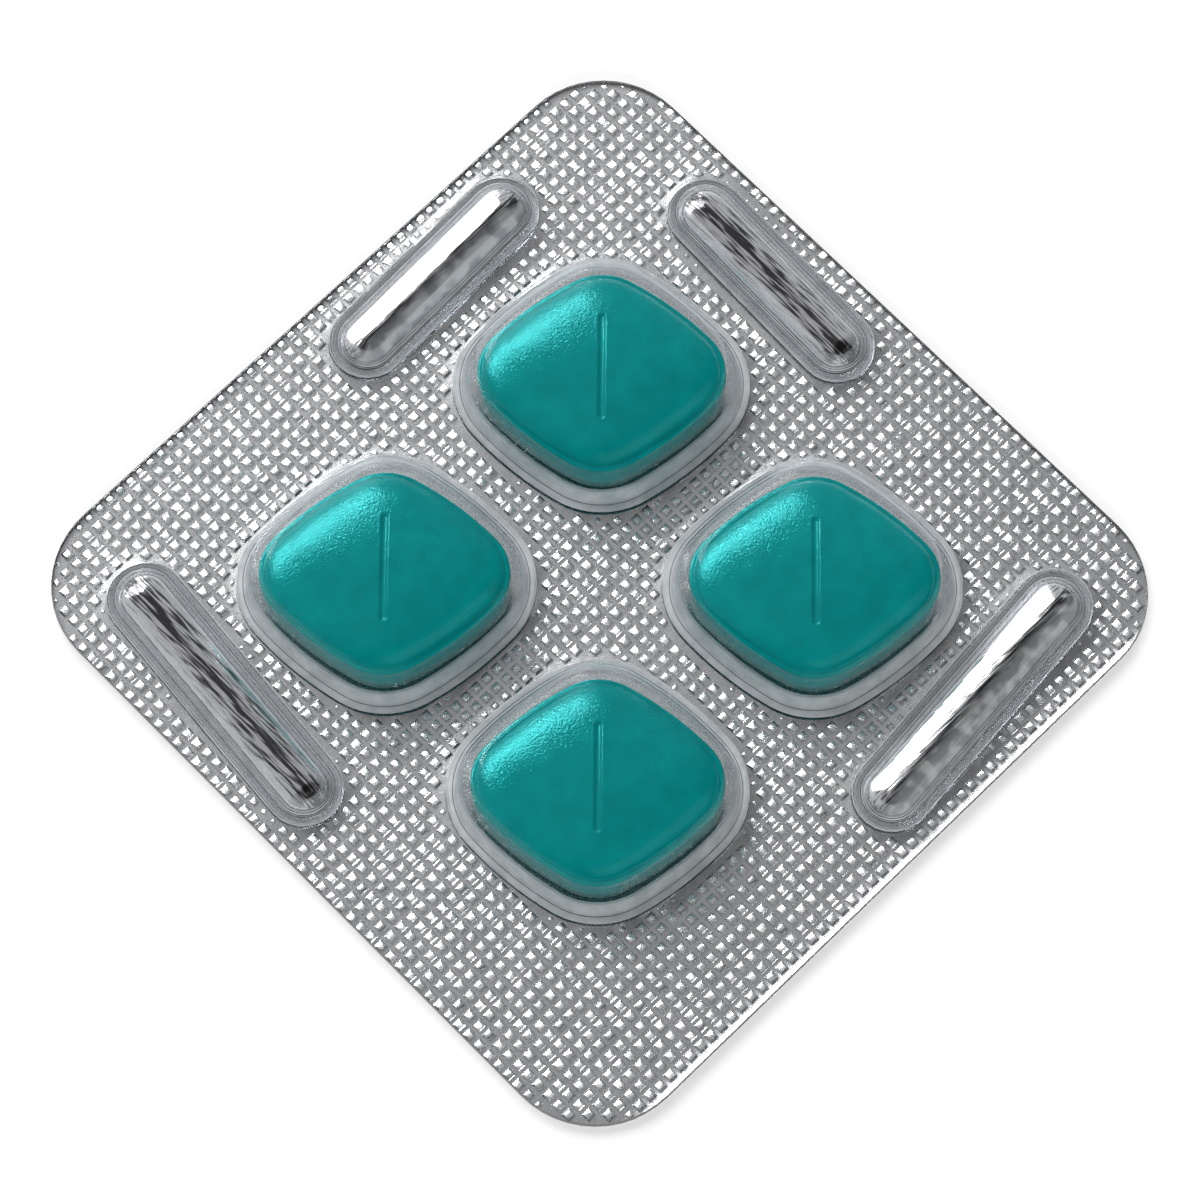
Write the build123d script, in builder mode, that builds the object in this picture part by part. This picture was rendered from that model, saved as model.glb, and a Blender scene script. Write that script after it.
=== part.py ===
from build123d import *
import math
import os

# A square blister pack that holds four film-coated tablets, in millimetres.
# It lies on its foil: +Z is up, towards the clear film, the sides run along X and Y,
# and the origin is the centre of the base.

# Outline of the pack, cut through film and foil together
pack_length = 48.0
pack_width = 48.0
pack_corner_radius = 5.8

# Sheets. The foil is measured over its embossed sealing pattern, not through its bare gauge.
foil_thickness = 0.10
film_gauge = 0.30
formed_wall = 0.15  # the film is drawn thinner wherever it is formed up

# Tablets: cushion-shaped diamonds, each with its long axis across the pack's diagonal X = Y
tablet_length = 14.35
tablet_width = 12.1
tablet_tip_radius = 3.05
tablet_waist_radius = 3.4
tablet_flank_radius = 20.0
tablet_band_height = 2.6  # the upright side between the two cups
tablet_top_cup = 1.4
tablet_bottom_cup = 0.9
cup_crown_share = 0.3  # share of the outline's size that the flat crown keeps
cup_edge_angle = 30.0  # where on its quarter ellipse a cup leaves the side band
cup_steps = 4
score_length = 6.4  # break line across the waist
score_width = 0.42
score_depth = 0.16
tablet_slide = 0.38  # each tablet lies this far down the diagonal in its pocket

# Pockets in the film, two by two. The end and side clearances are from a centred tablet
# to the wall, at the top of the tablet's side band.
pocket_pitch = 17.3
pocket_turn = -45.0
pocket_end_clearance = 0.33
pocket_side_clearance = 0.66
pocket_headroom = 0.30
pocket_draft = 8.0
pocket_roof_radius = 1.8

# The low ledge that runs round every pocket and rib
pocket_ledge = 0.50
rib_ledge = 0.60
ledge_height = 0.35

# Stiffening ribs: a short pair by the +X +Y corner and a long pair opposite.
# Each pair is mirrored in the diagonal plane X = Y, and span is between the centres of the ends.
rib_radius = 1.7
rib_rise = 1.7
rib_crest_radius = 1.45
short_rib_span = 11.2
short_rib_centre = (6.4, 20.3)
short_rib_tilt = 2.2
long_rib_span = 14.6
long_rib_centre = (10.4, -19.8)
long_rib_tilt = 5.1

os.makedirs("parts", exist_ok=True)

# Heights that follow from the sizes above, and how far a pocket's walls spread below the band
film_top = foil_thickness + film_gauge
ledge_top = film_top + ledge_height
band_bottom = foil_thickness + tablet_bottom_cup
band_top = band_bottom + tablet_band_height
tablet_top = band_top + tablet_top_cup
pocket_top = tablet_top + pocket_headroom + formed_wall
pocket_spread = (band_top - foil_thickness) * math.tan(math.radians(pocket_draft))
rib_top = film_top + rib_rise

# Places on the sheet
pocket_places = [
    Location((side_x * pocket_pitch / 2, side_y * pocket_pitch / 2), pocket_turn)
    for side_x in (-1, 1)
    for side_y in (-1, 1)
]


def mirrored_pair(centre, tilt):
    """A rib near the X direction at centre, and its mirror image in the plane X = Y."""
    return [Location(centre, tilt), Location((centre[1], centre[0]), 90 - tilt)]


def cushion(length, width, tip_radius, waist_radius, flank_radius):
    """A diamond with bowed flanks, rounded at its tips on X and at its waist on Y."""
    tip = length / 2 - tip_radius
    waist = width / 2 - waist_radius
    # A flank's centre lies at known distances from the centres of the two corners it joins.
    to_tip = flank_radius - tip_radius
    to_waist = flank_radius - waist_radius
    span = math.hypot(tip, waist)
    along = (to_waist**2 - to_tip**2 + span**2) / (2 * span)
    across = math.sqrt(to_waist**2 - along**2)
    flank_x = (along * tip - across * waist) / span
    flank_y = waist - (along * waist + across * tip) / span
    tip_angle = math.degrees(math.atan2(-flank_y, tip - flank_x))
    waist_angle = math.degrees(math.atan2(waist - flank_y, -flank_x))
    with BuildSketch(mode=Mode.PRIVATE) as outline:
        with BuildLine():
            CenterArc((tip, 0), tip_radius, 0, tip_angle)
            CenterArc((flank_x, flank_y), flank_radius, tip_angle, waist_angle - tip_angle)
            CenterArc((0, waist), waist_radius, waist_angle, 90 - waist_angle)
            mirror(about=Plane.YZ)
            mirror(about=Plane.XZ)
        make_face()
    return outline.sketch


def tablet_outline(share):
    """The tablet's outline, scaled by share."""
    return cushion(
        tablet_length * share,
        tablet_width * share,
        tablet_tip_radius * share,
        tablet_waist_radius * share,
        tablet_flank_radius * share,
    )


def pocket_outline(margin):
    """The foot of a pocket's inner wall, grown by margin."""
    end_gap = pocket_end_clearance + pocket_spread + margin
    side_gap = pocket_side_clearance + pocket_spread + margin
    mean_gap = (end_gap + side_gap) / 2
    return cushion(
        tablet_length + 2 * end_gap,
        tablet_width + 2 * side_gap,
        tablet_tip_radius + mean_gap,
        tablet_waist_radius + mean_gap,
        tablet_flank_radius + mean_gap,
    )


def cup_levels(depth):
    """Pairs of height above the side band and share of the outline, out to the crown."""
    start = math.radians(cup_edge_angle)
    levels = []
    for step in range(cup_steps + 1):
        angle = start + (math.pi / 2 - start) * step / cup_steps
        rise = (math.sin(angle) - math.sin(start)) / (1 - math.sin(start))
        share = cup_crown_share + (1 - cup_crown_share) * math.cos(angle) / math.cos(start)
        levels.append((depth * rise, share))
    return levels


def pocket_body(margin, top, roof_radius, ledge_level):
    """A pocket's drafted and rounded block, with its ledge, standing on the foil."""
    with BuildPart() as body:
        with BuildSketch(Plane.XY.offset(foil_thickness)):
            add(pocket_outline(margin))
        extrude(amount=top - foil_thickness, taper=pocket_draft)
        fillet(body.faces().sort_by(Axis.Z)[-1].edges(), roof_radius)
        with BuildSketch(Plane.XY.offset(foil_thickness)):
            add(pocket_outline(margin + pocket_ledge))
        extrude(amount=ledge_level - foil_thickness)
    return body.part


def rib_body(span, radius, top, crest_radius, ledge_level):
    """A rib's round-ended and rounded bar, with its ledge, standing on the foil."""
    with BuildPart() as body:
        with BuildSketch(Plane.XY.offset(foil_thickness)):
            SlotCenterToCenter(span, 2 * radius)
        extrude(amount=top - foil_thickness)
        fillet(body.faces().sort_by(Axis.Z)[-1].edges(), crest_radius)
        with BuildSketch(Plane.XY.offset(foil_thickness)):
            SlotCenterToCenter(span, 2 * (radius + rib_ledge))
        extrude(amount=ledge_level - foil_thickness)
    return body.part


# Lidding foil
with BuildPart() as lidding_foil:
    with BuildSketch():
        RectangleRounded(pack_length, pack_width, pack_corner_radius)
    extrude(amount=foil_thickness)

lidding_foil.part.label = "lidding_foil"
export_step(lidding_foil.part, "parts/lidding_foil.step")

# Tablet: side band, a domed cup above and below it, and the score line
with BuildPart() as tablet:
    with BuildSketch(Plane.XY.offset(band_bottom)):
        add(tablet_outline(1))
    extrude(amount=tablet_band_height)
    for rise, share in cup_levels(tablet_top_cup):
        with BuildSketch(Plane.XY.offset(band_top + rise)):
            add(tablet_outline(share))
    loft()
    for drop, share in cup_levels(tablet_bottom_cup):
        with BuildSketch(Plane.XY.offset(band_bottom - drop)):
            add(tablet_outline(share))
    loft()
    with BuildSketch(Plane.XY.offset(tablet_top - score_depth)):
        SlotOverall(score_length, score_width, rotation=90)
    extrude(amount=tablet_top_cup, mode=Mode.SUBTRACT)

# Each pocket holds one tablet, which rests on the foil
for number, place in enumerate(pocket_places, start=1):
    with BuildPart() as placed_tablet:
        with Locations(place * Location((0, -tablet_slide))):
            add(tablet.part)
    placed_tablet.part.label = f"tablet_{number}"
    export_step(placed_tablet.part, f"parts/tablet_{number}.step")

# Forming film: a flat web with every pocket and rib added as a block, then hollowed from below
hollow_ledge = ledge_top - formed_wall
pocket_block = pocket_body(formed_wall, pocket_top, pocket_roof_radius, ledge_top)
pocket_hollow = pocket_body(
    0, pocket_top - formed_wall, pocket_roof_radius - formed_wall, hollow_ledge
)
formed_shapes = [(pocket_places, pocket_block, pocket_hollow)]
for span, centre, tilt in (
    (short_rib_span, short_rib_centre, short_rib_tilt),
    (long_rib_span, long_rib_centre, long_rib_tilt),
):
    rib_block = rib_body(span, rib_radius, rib_top, rib_crest_radius, ledge_top)
    rib_hollow = rib_body(
        span,
        rib_radius - formed_wall,
        rib_top - formed_wall,
        rib_crest_radius - formed_wall,
        hollow_ledge,
    )
    formed_shapes.append((mirrored_pair(centre, tilt), rib_block, rib_hollow))

with BuildPart() as forming_film:
    with BuildSketch(Plane.XY.offset(foil_thickness)):
        RectangleRounded(pack_length, pack_width, pack_corner_radius)
    extrude(amount=film_gauge)
    for places, block, hollow in formed_shapes:
        with Locations(*places):
            add(block)
        with Locations(*places):
            add(hollow, mode=Mode.SUBTRACT)

forming_film.part.label = "forming_film"
export_step(forming_film.part, "parts/forming_film.step")
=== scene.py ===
import math
import random

import bpy
import numpy as np
from mathutils import Matrix, Vector, noise
from mathutils.geometry import delaunay_2d_cdt


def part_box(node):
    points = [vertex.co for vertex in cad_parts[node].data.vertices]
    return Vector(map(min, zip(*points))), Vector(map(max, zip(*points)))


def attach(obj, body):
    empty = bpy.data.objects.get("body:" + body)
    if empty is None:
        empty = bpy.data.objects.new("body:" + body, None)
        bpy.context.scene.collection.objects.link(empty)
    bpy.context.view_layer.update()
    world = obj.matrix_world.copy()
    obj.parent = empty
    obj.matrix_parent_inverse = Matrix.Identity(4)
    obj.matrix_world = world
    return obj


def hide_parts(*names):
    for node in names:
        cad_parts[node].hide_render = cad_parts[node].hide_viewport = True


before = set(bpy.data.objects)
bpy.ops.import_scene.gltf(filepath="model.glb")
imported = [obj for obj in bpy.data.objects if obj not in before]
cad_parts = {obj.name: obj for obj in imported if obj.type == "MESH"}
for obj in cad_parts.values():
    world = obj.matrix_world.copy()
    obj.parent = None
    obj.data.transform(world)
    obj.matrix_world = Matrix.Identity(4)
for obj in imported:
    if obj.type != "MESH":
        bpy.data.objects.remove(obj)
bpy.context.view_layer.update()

# Shapes are worked out in millimetres, as the pack is drawn, and go into Blender in metres.
mm = 0.001
tabletNodes = ["tablet_1", "tablet_2", "tablet_3", "tablet_4"]


def boxInMm(node):
    low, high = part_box(node)
    return low / mm, high / mm


# ---- camera

camera = {
    "azimuth": -44.94,
    "elevation": 72.27,
    "roll": 0.47,
    "distance": 310.1,
    "target": (-0.485, -0.525, 0.0),
    "lens": 161.9,
    "sensor": 36.0,
}


def addCamera():
    azimuth = math.radians(camera["azimuth"])
    elevation = math.radians(camera["elevation"])
    back = Vector((
        math.sin(azimuth) * math.cos(elevation),
        -math.cos(azimuth) * math.cos(elevation),
        math.sin(elevation),
    ))
    level = Vector((math.cos(azimuth), math.sin(azimuth), 0))
    turn = Matrix.Rotation(math.radians(camera["roll"]), 3, back)
    right = turn @ level
    up = turn @ back.cross(level)
    data = bpy.data.cameras.new("packCamera")
    data.lens = camera["lens"]
    data.sensor_width = camera["sensor"]
    data.clip_start = 0.01
    data.clip_end = 10
    eye = bpy.data.objects.new("packCamera", data)
    place = Matrix((right, up, back)).transposed().to_4x4()
    place.translation = (Vector(camera["target"]) + back * camera["distance"]) * mm
    eye.matrix_world = place
    bpy.context.scene.collection.objects.link(eye)
    bpy.context.scene.camera = eye


addCamera()
print("camera in place")


# ---- outlines, as closed lists of points running anticlockwise

def arcPoints(centre, radius, start, end, steps):
    points = []
    for step in range(steps):
        angle = start + (end - start) * step / steps
        points.append((centre[0] + radius * math.cos(angle), centre[1] + radius * math.sin(angle)))
    return points


def cushionOutline(shape, growLength, growWidth, steps=(7, 9, 8)):
    # a diamond with bowed flanks: tips on X, waist on Y, grown evenly by the two margins
    growMean = (growLength + growWidth) / 2
    tipRadius = shape["tipRadius"] + growMean
    waistRadius = shape["waistRadius"] + growMean
    flankRadius = shape["flankRadius"] + growMean
    tip = shape["length"] / 2 + growLength - tipRadius
    waist = shape["width"] / 2 + growWidth - waistRadius
    toTip = flankRadius - tipRadius
    toWaist = flankRadius - waistRadius
    span = math.hypot(tip, waist)
    along = (toWaist ** 2 - toTip ** 2 + span ** 2) / (2 * span)
    across = math.sqrt(toWaist ** 2 - along ** 2)
    flank = ((along * tip - across * waist) / span, waist - (along * waist + across * tip) / span)
    tipAngle = math.atan2(-flank[1], tip - flank[0])
    waistAngle = math.atan2(waist - flank[1], -flank[0])
    quarter = (
        arcPoints((tip, 0), tipRadius, 0, tipAngle, steps[0])
        + arcPoints(flank, flankRadius, tipAngle, waistAngle, steps[1])
        + arcPoints((0, waist), waistRadius, waistAngle, math.pi / 2, steps[2])
    )
    second = [(-x, y) for x, y in [(0, waist + waistRadius)] + quarter[:0:-1]]
    half = quarter + second
    return half + [(-x, -y) for x, y in half]


slotEndSteps = 12


def slotOutline(span, radius, endSteps=slotEndSteps, sideSteps=14):
    # a round-ended bar along X
    points = []
    for side in (1, -1):
        end = (side * span / 2, 0)
        start = -math.pi / 2 if side > 0 else math.pi / 2
        points += arcPoints(end, radius, start, start + math.pi, endSteps)
        for step in range(sideSteps):
            points.append((side * span * (0.5 - step / sideSteps), side * radius))
    return points


def packOutline(size, radius, cornerSteps=12, sideSteps=30):
    points = []
    for corner in range(4):
        start = corner * math.pi / 2
        signX = 1 if corner in (0, 3) else -1
        signY = 1 if corner in (0, 1) else -1
        centre = (signX * (size[0] / 2 - radius), signY * (size[1] / 2 - radius))
        points += arcPoints(centre, radius, start, start + math.pi / 2, cornerSteps)
        nextX = -1 if corner in (0, 1) else 1
        nextY = 1 if corner in (0, 3) else -1
        first = (
            centre[0] + radius * math.cos(start + math.pi / 2),
            centre[1] + radius * math.sin(start + math.pi / 2),
        )
        last = (
            nextX * (size[0] / 2 - radius) + radius * math.cos(start + math.pi / 2),
            nextY * (size[1] / 2 - radius) + radius * math.sin(start + math.pi / 2),
        )
        for step in range(sideSteps):
            share = step / sideSteps
            points.append((
                first[0] + (last[0] - first[0]) * share,
                first[1] + (last[1] - first[1]) * share,
            ))
    return points


def placed(points, place):
    # place is (x, y, turn in degrees)
    turn = math.radians(place[2])
    c, s = math.cos(turn), math.sin(turn)
    return [(place[0] + c * x - s * y, place[1] + s * x + c * y) for x, y in points]


# ---- the pack's own sizes, in millimetres

packLow, packHigh = boxInMm("lidding_foil")
filmHigh = boxInMm("forming_film")[1]
tabletLow, tabletHigh = boxInMm("tablet_1")

pack = {
    "size": (packHigh.x - packLow.x, packHigh.y - packLow.y),
    "cornerRadius": 5.8,
    "cutBevel": 0.07,  # the shear leaves the film's upper edge this far in
    "swell": 0.09,  # the web stands up this much beside every pocket and rib
    "swellReach": 0.38,
    "curl": 0.17,  # the -Y edge turns up a little
    "curlReach": 0.78,
}

tablet = {
    "length": 14.35,
    "width": 12.1,
    "tipRadius": 3.05,
    "waistRadius": 3.4,
    "flankRadius": 20.0,
    "turn": -45.0,
    "slide": 0.38,
    "topCup": 1.4,
    "bottomCup": 0.9,
    "bandEase": (0.06, 0.05),  # rounding at the lower and upper edge of the side band
    "bevel": ((0.9985, 0.01), (0.994, 0.055), (0.987, 0.09), (0.978, 0.108), (0.962, 0.122)),
    "landShare": 0.952,  # the flat land between the bevel and the upper cup
    "landRise": 0.13,
    "cupSquareness": 2.2,
    "cupFullness": 0.6,
    "bottomSquareness": 2.4,
    "bottomFullness": 0.62,
    # where the loops of points lie, as shares of the outline
    "bottomShares": (0.12, 0.3, 0.48, 0.64, 0.78, 0.88, 0.945, 0.978, 0.992),
    "landSteps": (0.0, 0.002, 0.006, 0.013, 0.024, 0.04, 0.062, 0.09),  # in from the land
    "cupShares": (0.825, 0.78, 0.73, 0.675, 0.615),
    "crownShares": (0.56, 0.5, 0.44, 0.38, 0.31, 0.24, 0.17, 0.1),
    "scoreLength": 6.4,
    "scoreWidth": 0.42,
    # from the raised lip to the bottom: how far beyond the half width, and the height there
    "scoreSection": ((0.13, 0.0), (0.05, 0.012), (-0.02, -0.03), (-0.09, -0.128), (-0.16, -0.16)),
    "scoreClear": 0.06,  # no other points lie nearer than this
}

pocket = {
    "endClearance": 0.33,
    "sideClearance": 0.66,
    "draft": 8.0,
    "roofRadius": 1.8,
    "ledge": 0.50,
    "wall": 0.15,
    "footInset": 0.05,  # rounding between ledge and wall
    "footRise": 0.10,
    "wallSteps": 5,
    "milkySteps": 3,  # the wall is milky up to here
    "roofSteps": 12,
    "roofDrop": 0.10,  # the roof is crowned by this much
    "roofShares": (0.85, 0.68, 0.5, 0.3, 0.12),  # the loops of points in the roof
}

rib = {
    "radius": 1.7,
    "ledge": 0.60,
    "rise": 1.7,
    "crestRadius": 1.45,
    "crestStart": 8,  # degrees the sides lean in
    "crestZones": ["riser", "rim"] + ["ribFlank"] * 6 + ["web"] * 5,
    # span, then x, y and the turn in degrees
    "places": (
        (11.2, (6.4, 20.3, 2.2)),
        (11.2, (20.3, 6.4, 87.8)),
        (14.6, (10.4, -19.8, 5.1)),
        (14.6, (-19.8, 10.4, 84.9)),
    ),
}

knurl = {
    "rows": 60,
    "margin": 0.33,  # from the pack's edges to the outermost rows
    "strip": 0.80,  # and from the -Y edge, where the seal has a plain strip
    "base": 0.300,  # half sides of each raised square
    "shoulder": 0.238,
    "crown": 0.190,
    "shoulderRise": 0.10,
    "crownRise": 0.14,
    "tipRise": 0.190,
    "press": (0.86, 1.08),  # no two are pressed equally deep
    "drift": 0.02,
    "jitter": 0.012,
    "lean": 9.0,  # degrees the crowns lean towards +Y, dragged by the sealing roller
    "wander": 5.0,  # and how far each one strays from that
    "shoulderLean": 0.45,  # the shoulders lean by this share of what the crowns do
    "push": 0.08,  # the drawn shapes push their neighbours aside by up to this much
    "clearance": 0.02,
    "squeeze": 0.06,  # a square that would cross the edge shrinks in steps of this
    "smallest": 0.25,
}

sheets = {
    "foilGauge": 0.04,
    "filmGauge": 0.30,
    "filmTop": 0.355,
    "filmDimple": 0.045,
    "filmClear": 1.05,  # how much higher than the foil's tips the film's hollows are
    "bond": 0.012,  # the film lies this far above the foil
    "foot": 0.07,  # rounding where a ledge leaves the web
    "crinkle": (2.1, 0.02, 3.0),  # size, depth and seed
}

ledgeTop = 0.75  # the height of every ledge, from the foil's underside
draftSlope = math.tan(math.radians(pocket["draft"]))
bandTop = tabletHigh.z - tablet["topCup"]
bandBottom = tabletLow.z + tablet["bottomCup"]
pocketSpread = (bandTop - packHigh.z) * draftSlope


def pocketOutline(margin):
    # the foot of a pocket's inner wall, grown by margin
    return cushionOutline(
        tablet,
        pocket["endClearance"] + pocketSpread + margin,
        pocket["sideClearance"] + pocketSpread + margin,
    )


slideAngle = math.radians(tablet["turn"] + 90)
pocketPlaces = []
for node in tabletNodes:
    low, high = boxInMm(node)
    pocketPlaces.append((
        (low.x + high.x) / 2 + tablet["slide"] * math.cos(slideAngle),
        (low.y + high.y) / 2 + tablet["slide"] * math.sin(slideAngle),
        tablet["turn"],
    ))


# ---- the web between pockets and ribs, shared by film and foil

def nearestFeet(points, loops):
    # the distance from each point to the nearest stretch of any closed loop, and the way there
    paintedReflectionBlots = np.array(points, float)[:, None, :]
    nearest = np.full(len(points), 1e9)
    ways = np.zeros((len(points), 2))
    for loop in loops:
        start = np.array(loop, float)
        run = np.roll(start, -1, axis=0) - start
        share = ((paintedReflectionBlots - start) * run).sum(2) / (run ** 2).sum(1)
        foot = start + run * np.clip(share, 0, 1)[:, :, None]
        gaps = np.sqrt(((paintedReflectionBlots - foot) ** 2).sum(2))
        best = gaps.argmin(1)
        rows = np.arange(len(points))
        closer = gaps[rows, best] < nearest
        nearest = np.where(closer, gaps[rows, best], nearest)
        ways[closer] = (foot[rows, best] - paintedReflectionBlots[:, 0])[closer]
    return nearest, ways / np.maximum(nearest, 1e-9)[:, None]


def square(centre, half):
    x, y = centre
    return [(x - half, y - half), (x + half, y - half), (x + half, y + half), (x - half, y + half)]


def insideLoop(point, loop):
    # every loop here is convex and runs anticlockwise
    x, y = point
    for (ax, ay), (bx, by) in zip(loop, loop[1:] + loop[:1]):
        if (bx - ax) * (y - ay) - (by - ay) * (x - ax) < 0:
            return False
    return True


edgeLoop = packOutline(pack["size"], pack["cornerRadius"])
pocketFoot = pocket["wall"] + pocket["ledge"] + sheets["foot"]
ribFoot = rib["radius"] + rib["ledge"] + sheets["foot"]
formLoops = [placed(pocketOutline(pocketFoot), place) for place in pocketPlaces]
formLoops += [placed(slotOutline(span, ribFoot), place) for span, place in rib["places"]]


def knurlSquares():
    # centre and scale of every raised square, squeezed where it meets a drawn shape or an edge
    margin, rows = knurl["margin"], knurl["rows"]
    across = np.linspace(packLow.x + margin, packHigh.x - margin, rows)
    along = np.linspace(packLow.y + knurl["strip"], packHigh.y - margin, rows)
    centres = [(x, y) for x in across for y in along if insideLoop((x, y), edgeLoop)]
    room, way = nearestFeet(centres, formLoops)
    edgeRoom = nearestFeet(centres, [edgeLoop])[0]
    kept = []
    for k, (x, y) in enumerate(centres):
        within = any(insideLoop((x, y), loop) for loop in formLoops)
        free = -room[k] if within else room[k]
        toward = -way[k] if within else way[k]
        full = knurl["base"] * abs(toward).sum() + knurl["clearance"]
        shift = min(max(full - free, 0.0), knurl["push"])
        scale = min(1.0, (free + shift - knurl["clearance"]) / (full - knurl["clearance"]))
        centre = (x - toward[0] * shift, y - toward[1] * shift)
        while scale > knurl["smallest"] and edgeRoom[k] < 2 * knurl["base"]:
            corners = square(centre, knurl["base"] * scale + knurl["clearance"])
            if all(insideLoop(corner, edgeLoop) for corner in corners):
                break
            scale -= knurl["squeeze"]
        if scale > knurl["smallest"]:
            kept.append((centre, scale))
    return kept


bumps = knurlSquares()
print("knurl:", len(bumps), "raised squares")


def makeWeb():
    # one flat triangulation round all the loops, without what lies inside the forms and squares
    loops = [edgeLoop] + formLoops
    loops += [square(centre, knurl["base"] * scale) for centre, scale in bumps]
    points, edges, owner, starts = [], [], [], []
    for number, loop in enumerate(loops):
        start = len(points)
        starts.append(start)
        points += loop
        owner += [number] * len(loop)
        edges += [(start + k, start + (k + 1) % len(loop)) for k in range(len(loop))]
    result = delaunay_2d_cdt([Vector(p) for p in points], edges, [], 0, 1e-7)
    triangles = []
    for a, b, c in result[2]:
        if owner[a] == owner[b] == owner[c] != 0:
            continue
        (ax, ay), (bx, by), (cx, cy) = points[a], points[b], points[c]
        turn = (bx - ax) * (cy - ay) - (by - ay) * (cx - ax)
        triangles.append((a, b, c) if turn > 0 else (a, c, b))
    return {
        "points": points,
        "triangles": triangles,
        "starts": starts,
        "counts": [len(loop) for loop in loops],
    }


web = makeWeb()


def webRing(number):
    # the web's own points round a drawn shape or a raised square
    start = web["starts"][number]
    return [start + k for k in range(web["counts"][number])]


gap = nearestFeet(web["points"], formLoops)[0]
webLift = pack["swell"] * np.exp(-(gap / pack["swellReach"]) ** 2)
fromEdge = np.array([y for x, y in web["points"]]) - packLow.y
webLift += pack["curl"] * np.clip(1 - fromEdge / pack["curlReach"], 0, 1) ** 2
print("web:", len(web["points"]), "points,", len(web["triangles"]), "triangles")


# ---- two-sided sheets: every point has a place on the upper and on the lower surface

def newSheet():
    return {"upper": [], "lower": [], "faces": [], "marks": []}


def addPoint(sheet, upper, lower):
    sheet["upper"].append(upper)
    sheet["lower"].append(lower)
    return len(sheet["upper"]) - 1


def addFace(sheet, corners, mark=0):
    sheet["faces"].append(corners)
    sheet["marks"].append(mark)


def addRing(sheet, outer, upperLoop, lowerLoop, mark=0):
    # one more loop of points inside the last, joined to it
    inner = [addPoint(sheet, upper, lower) for upper, lower in zip(upperLoop, lowerLoop)]
    count = len(inner)
    for k in range(count):
        after = (k + 1) % count
        addFace(sheet, (outer[k], outer[after], inner[after], inner[k]), mark)
    return inner


def closeFan(sheet, ring, upper, lower):
    middle = addPoint(sheet, upper, lower)
    for k, index in enumerate(ring):
        addFace(sheet, (index, ring[(k + 1) % len(ring)], middle))


def closeBar(sheet, ring, mark=0):
    # a long loop of slotOutline's points is sewn up along its middle
    count = len(ring)
    half = count // 2
    turn = slotEndSteps // 2
    right = [ring[(turn + k) % count] for k in range(half + 1)]
    left = [ring[(turn - k) % count] for k in range(half + 1)]
    for k in range(half):
        face = [right[k], right[k + 1], left[k + 1], left[k]]
        kept = [index for spot, index in enumerate(face) if index not in face[:spot]]
        if len(kept) > 2:
            addFace(sheet, tuple(kept), mark)


def sheetObject(name, sheet, edgeCount, edgeMark):
    count = len(sheet["upper"])
    points = [Vector(p) * mm for p in sheet["upper"] + sheet["lower"]]
    faces = list(sheet["faces"])
    marks = list(sheet["marks"])
    for face, mark in zip(sheet["faces"], sheet["marks"]):
        faces.append(tuple(index + count for index in reversed(face)))
        marks.append(mark)
    for k in range(edgeCount):
        after = (k + 1) % edgeCount
        faces.append((k + count, after + count, after, k))
        marks.append(edgeMark)
    return meshObject(name, points, faces, marks)


def meshObject(name, points, faces, marks=None):
    mesh = bpy.data.meshes.new(name)
    mesh.from_pydata(points, [], faces)
    mesh.validate()
    mesh.update()
    mesh.shade_smooth()
    if marks:
        mesh.polygons.foreach_set("material_index", marks)
    piece = bpy.data.objects.new(name, mesh)
    bpy.context.scene.collection.objects.link(piece)
    return piece


def flat(points, height):
    return [(x, y, height) for x, y in points]


def crinkle(x, y, size, depth, seed):
    return depth * noise.noise(Vector((x / size, y / size, seed)))


# ---- foil

def foilSheet():
    dice = random.Random(11)
    sheet = newSheet()
    gauge = sheets["foilGauge"]
    drift, jitter, wander = knurl["drift"], knurl["jitter"], knurl["wander"]
    for (x, y), lift in zip(web["points"], webLift):
        height = gauge + lift + crinkle(x, y, *sheets["crinkle"])
        addPoint(sheet, (x, y, height), (x, y, max(height - gauge, 0.0)))
    for triangle in web["triangles"]:
        addFace(sheet, triangle)
    for number, (centre, scale) in enumerate(bumps, start=1 + len(formLoops)):
        ring = webRing(number)
        ground = sum(sheet["upper"][k][2] for k in ring) / 4
        press = scale * dice.uniform(*knurl["press"])
        middle = (centre[0] + dice.uniform(-drift, drift), centre[1] + dice.uniform(-drift, drift))
        slopeY = math.tan(math.radians(knurl["lean"] + dice.uniform(-wander, wander)))
        slopeX = math.tan(math.radians(dice.uniform(-wander, wander)))
        for half, rise, leaning in (
            (knurl["shoulder"], knurl["shoulderRise"], knurl["shoulderLean"]),
            (knurl["crown"], knurl["crownRise"], 1.0),
        ):
            loop = []
            for x, y in square(middle, half * scale):
                droop = ((y - middle[1]) * slopeY + (x - middle[0]) * slopeX) * leaning
                spotX = x + dice.uniform(-jitter, jitter)
                spotY = y + dice.uniform(-jitter, jitter)
                loop.append((spotX, spotY, ground + rise * press - droop))
            ring = addRing(sheet, ring, loop, [(x, y, z - gauge) for x, y, z in loop])
        tip = ground + knurl["tipRise"] * press
        closeFan(sheet, ring, (*middle, tip), (*middle, tip - gauge))
    return sheet


def lyingRing(sheet, ring, outline, height, size, depth, seed):
    # one more loop of foil that lies low, a little crinkled
    loop = [(x, y, height + crinkle(x, y, size, depth, seed)) for x, y in outline]
    lower = [(x, y, max(z - sheets["foilGauge"], 0.0)) for x, y, z in loop]
    return addRing(sheet, ring, loop, lower)


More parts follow.
